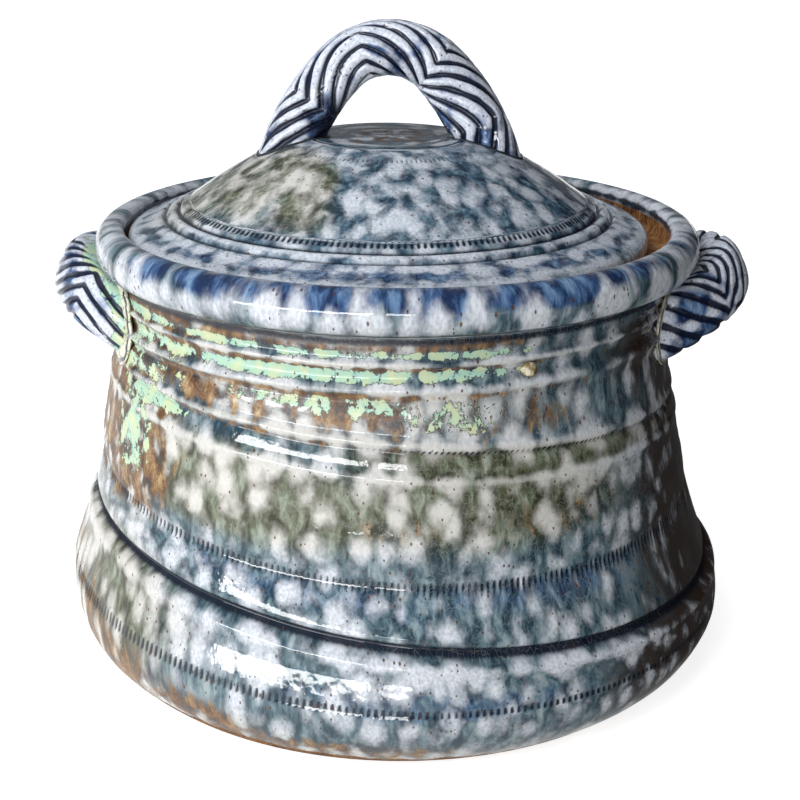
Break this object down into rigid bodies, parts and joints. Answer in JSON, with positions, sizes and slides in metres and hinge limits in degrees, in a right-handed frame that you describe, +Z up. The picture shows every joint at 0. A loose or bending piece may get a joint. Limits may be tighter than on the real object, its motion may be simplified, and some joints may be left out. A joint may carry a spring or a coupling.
{
  "type": "casserole dish",
  "caption": "Round stoneware casserole with a flared skirt, rolled rim, lug handles under the rim and a domed lid with an arched strap handle that lifts out of a gallery.",
  "frame": {"origin": "centre of the foot, on the surface that the pot stands on", "axes": "+Z up along the pot's axis, +X towards the right lug, -Y towards the front"},
  "size_m": [0.2332, 0.2288, 0.2051],
  "materials": {
    "pot_glaze": "glossy salt glaze, pale grey over blue-grey and olive mottling, rust and mint patches, bare rust clay in the gallery",
    "lid_glaze": "glossy salt glaze, pale grey spots over slate blue and olive",
    "strap_glaze": "glossy pale grey glaze with dark blue pooled in carved lines",
    "luting_slip": "cream slip, crackled, partly glazed"
  },
  "bodies": {
    "pot": {"pot_body": "pot_glaze", "left_lug": "strap_glaze", "right_lug": "strap_glaze", "left_lug_slip": "luting_slip", "right_lug_slip": "luting_slip"},
    "lid": {"lid": "lid_glaze", "lid_handle": "strap_glaze", "lid_handle_slip": "luting_slip"}
  },
  "joints": [
    {"name": "lid_lift", "type": "slide", "parent": "pot", "child": "lid", "axis": [0, 0, 1], "range_m": [0, 0.12]}
  ]
}
